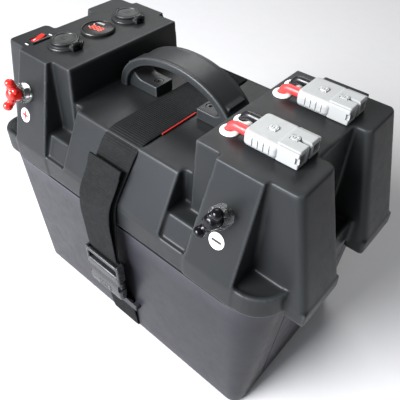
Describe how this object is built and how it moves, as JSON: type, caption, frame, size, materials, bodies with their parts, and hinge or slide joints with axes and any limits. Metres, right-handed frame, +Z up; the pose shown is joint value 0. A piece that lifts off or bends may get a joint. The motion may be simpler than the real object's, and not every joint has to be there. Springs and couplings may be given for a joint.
{
  "type": "portable battery box",
  "caption": "Black plastic battery box with lift-off lid, hollow towers carrying sockets, meter, switch and connectors, terminals, arched handle and buckled strap.",
  "frame": {"origin": "centre of the tub's base, on the ground", "axes": "+X along the length to the connector end, -Y to the terminal and buckle side, +Z up"},
  "size_m": [0.4312, 0.2458, 0.3463],
  "materials": {
    "tub_plastic": "moulded satin black",
    "lid_plastic": "moulded satin black",
    "handle_plastic": "moulded satin black",
    "black_screw": "black coated",
    "zinc": "zinc plated",
    "fitting_black": "semi-gloss black",
    "cap_black": "satin black",
    "nickel": "bright nickel plate",
    "brass": "bare",
    "lens": "smoked",
    "digits": "lit red",
    "red_gloss": "glossy red",
    "black_gloss": "glossy black",
    "collar_clear": "clear moulded plastic",
    "white_label": "printed white vinyl",
    "marks": "printed ink",
    "plug_grey": "light grey moulded",
    "grommet_white": "satin white",
    "lead_red": "red sheath",
    "lead_black": "black sheath",
    "webbing": "woven ribbed",
    "red_edge": "woven red edging",
    "buckle_plastic": "semi-gloss black"
  },
  "bodies": {
    "tub": {"tub": "tub_plastic", "strap_lower": "webbing", "buckle_female": "buckle_plastic"},
    "lid": {"lid": "lid_plastic", "handle": "handle_plastic", "handle_screws": "black_screw", "handle_nuts": "zinc", "socket_bodies": "fitting_black", "socket_shells": "nickel", "socket_contacts": "brass", "socket_nuts": "fitting_black", "cap_pins": "zinc", "meter_body": "fitting_black", "meter_lens": "lens", "meter_digits": "digits", "meter_nut": "fitting_black", "switch_frame": "fitting_black", "switch_tabs": "brass", "stud_pos": "nickel", "stud_neg": "nickel", "collars": "collar_clear", "stud_washers": "zinc", "sticker_pos": "white_label", "sticker_neg": "white_label", "sticker_marks": "marks", "plug_1": "plug_grey", "plug_2": "plug_grey", "plug_contacts": "nickel", "plug_screws": "zinc", "grommets": "grommet_white", "leads_red": "lead_red", "leads_black": "lead_black", "strap_upper": "webbing", "strap_tail": "webbing", "strap_edge": "red_edge", "buckle_male": "buckle_plastic"},
    "cap_1": {"cap_1": "cap_black"},
    "cap_2": {"cap_2": "cap_black"},
    "rocker": {"rocker": "red_gloss"},
    "wing_pos": {"wing_pos": "red_gloss"},
    "wing_neg": {"wing_neg": "black_gloss"}
  },
  "joints": [
    {"name": "lid_lift", "type": "slide", "parent": "tub", "child": "lid", "axis": [0, 0, 1], "range_m": [0, 0.28]},
    {"name": "cap_1_hinge", "type": "hinge", "parent": "lid", "child": "cap_1", "pos_m": [-0.1123, -0.044, 0.336], "axis": [0, 1, 0], "range_deg": [0, 110]},
    {"name": "cap_2_hinge", "type": "hinge", "parent": "lid", "child": "cap_2", "pos_m": [-0.1123, 0.046, 0.336], "axis": [0, 1, 0], "range_deg": [0, 110]},
    {"name": "rocker_tilt", "type": "hinge", "parent": "lid", "child": "rocker", "pos_m": [-0.161, -0.057, 0.329], "axis": [1, 0, 0], "range_deg": [-22, 0]},
    {"name": "wing_pos_turn", "type": "hinge", "parent": "lid", "child": "wing_pos", "pos_m": [-0.141, -0.10575, 0.29286], "axis": [0, -0.9524, 0.3048], "continuous": true},
    {"name": "wing_neg_turn", "type": "hinge", "parent": "lid", "child": "wing_neg", "pos_m": [0.132, -0.10575, 0.29286], "axis": [0, -0.9524, 0.3048], "continuous": true}
  ]
}
